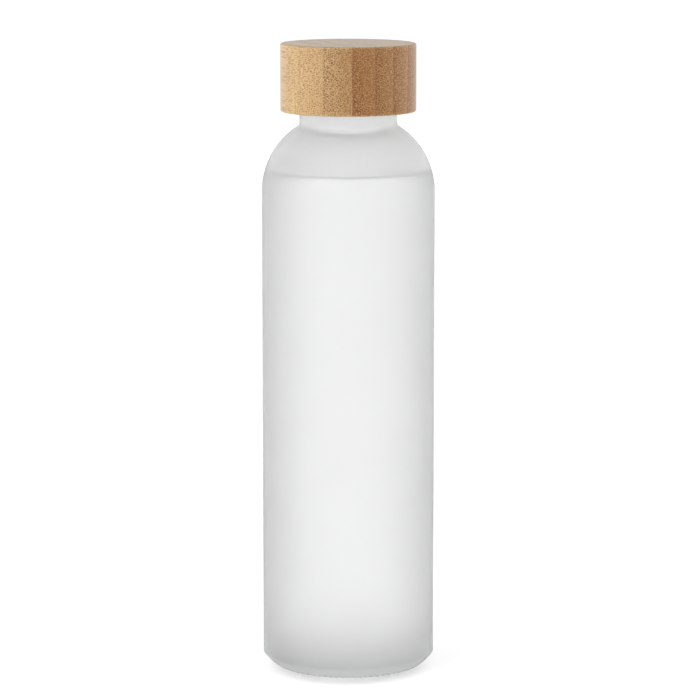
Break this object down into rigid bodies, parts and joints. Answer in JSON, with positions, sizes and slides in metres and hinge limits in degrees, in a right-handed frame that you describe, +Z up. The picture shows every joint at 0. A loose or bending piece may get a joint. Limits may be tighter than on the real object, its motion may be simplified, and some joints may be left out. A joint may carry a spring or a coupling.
{
  "type": "glass water bottle",
  "caption": "Tall round frosted glass water bottle with rounded shoulders, a short neck and a flat screw cap turned from laminated bamboo.",
  "frame": {"origin": "centre of the ring that the bottle stands on, on the surface it rests on", "axes": "+Z up along the bottle's axis, towards the cap; the glass thread starts on +X"},
  "size_m": [0.062, 0.062, 0.2264],
  "materials": {
    "glass": "frosted outside, smooth inside",
    "bamboo": "turned and sanded, matt",
    "plastic": "moulded polypropylene, natural white",
    "silicone": "translucent white silicone"
  },
  "bodies": {
    "bottle": {"glass_bottle": "glass"},
    "seal": {"seal_gasket": "silicone"},
    "cap": {"bamboo_cap": "bamboo", "threaded_insert": "plastic"}
  },
  "joints": [
    {"name": "cap_lift", "type": "slide", "parent": "bottle", "child": "seal", "axis": [0, 0, 1], "range_m": [0, 0.0212]},
    {"name": "cap_turn", "type": "hinge", "parent": "seal", "child": "cap", "pos_m": [0, 0, 0.2021], "axis": [0, 0, 1], "range_deg": [0, 1800]}
  ],
  "couplings": [
    {"joint": "cap_lift", "follows": "cap_turn", "m_per_rad": 0.00067376}
  ]
}
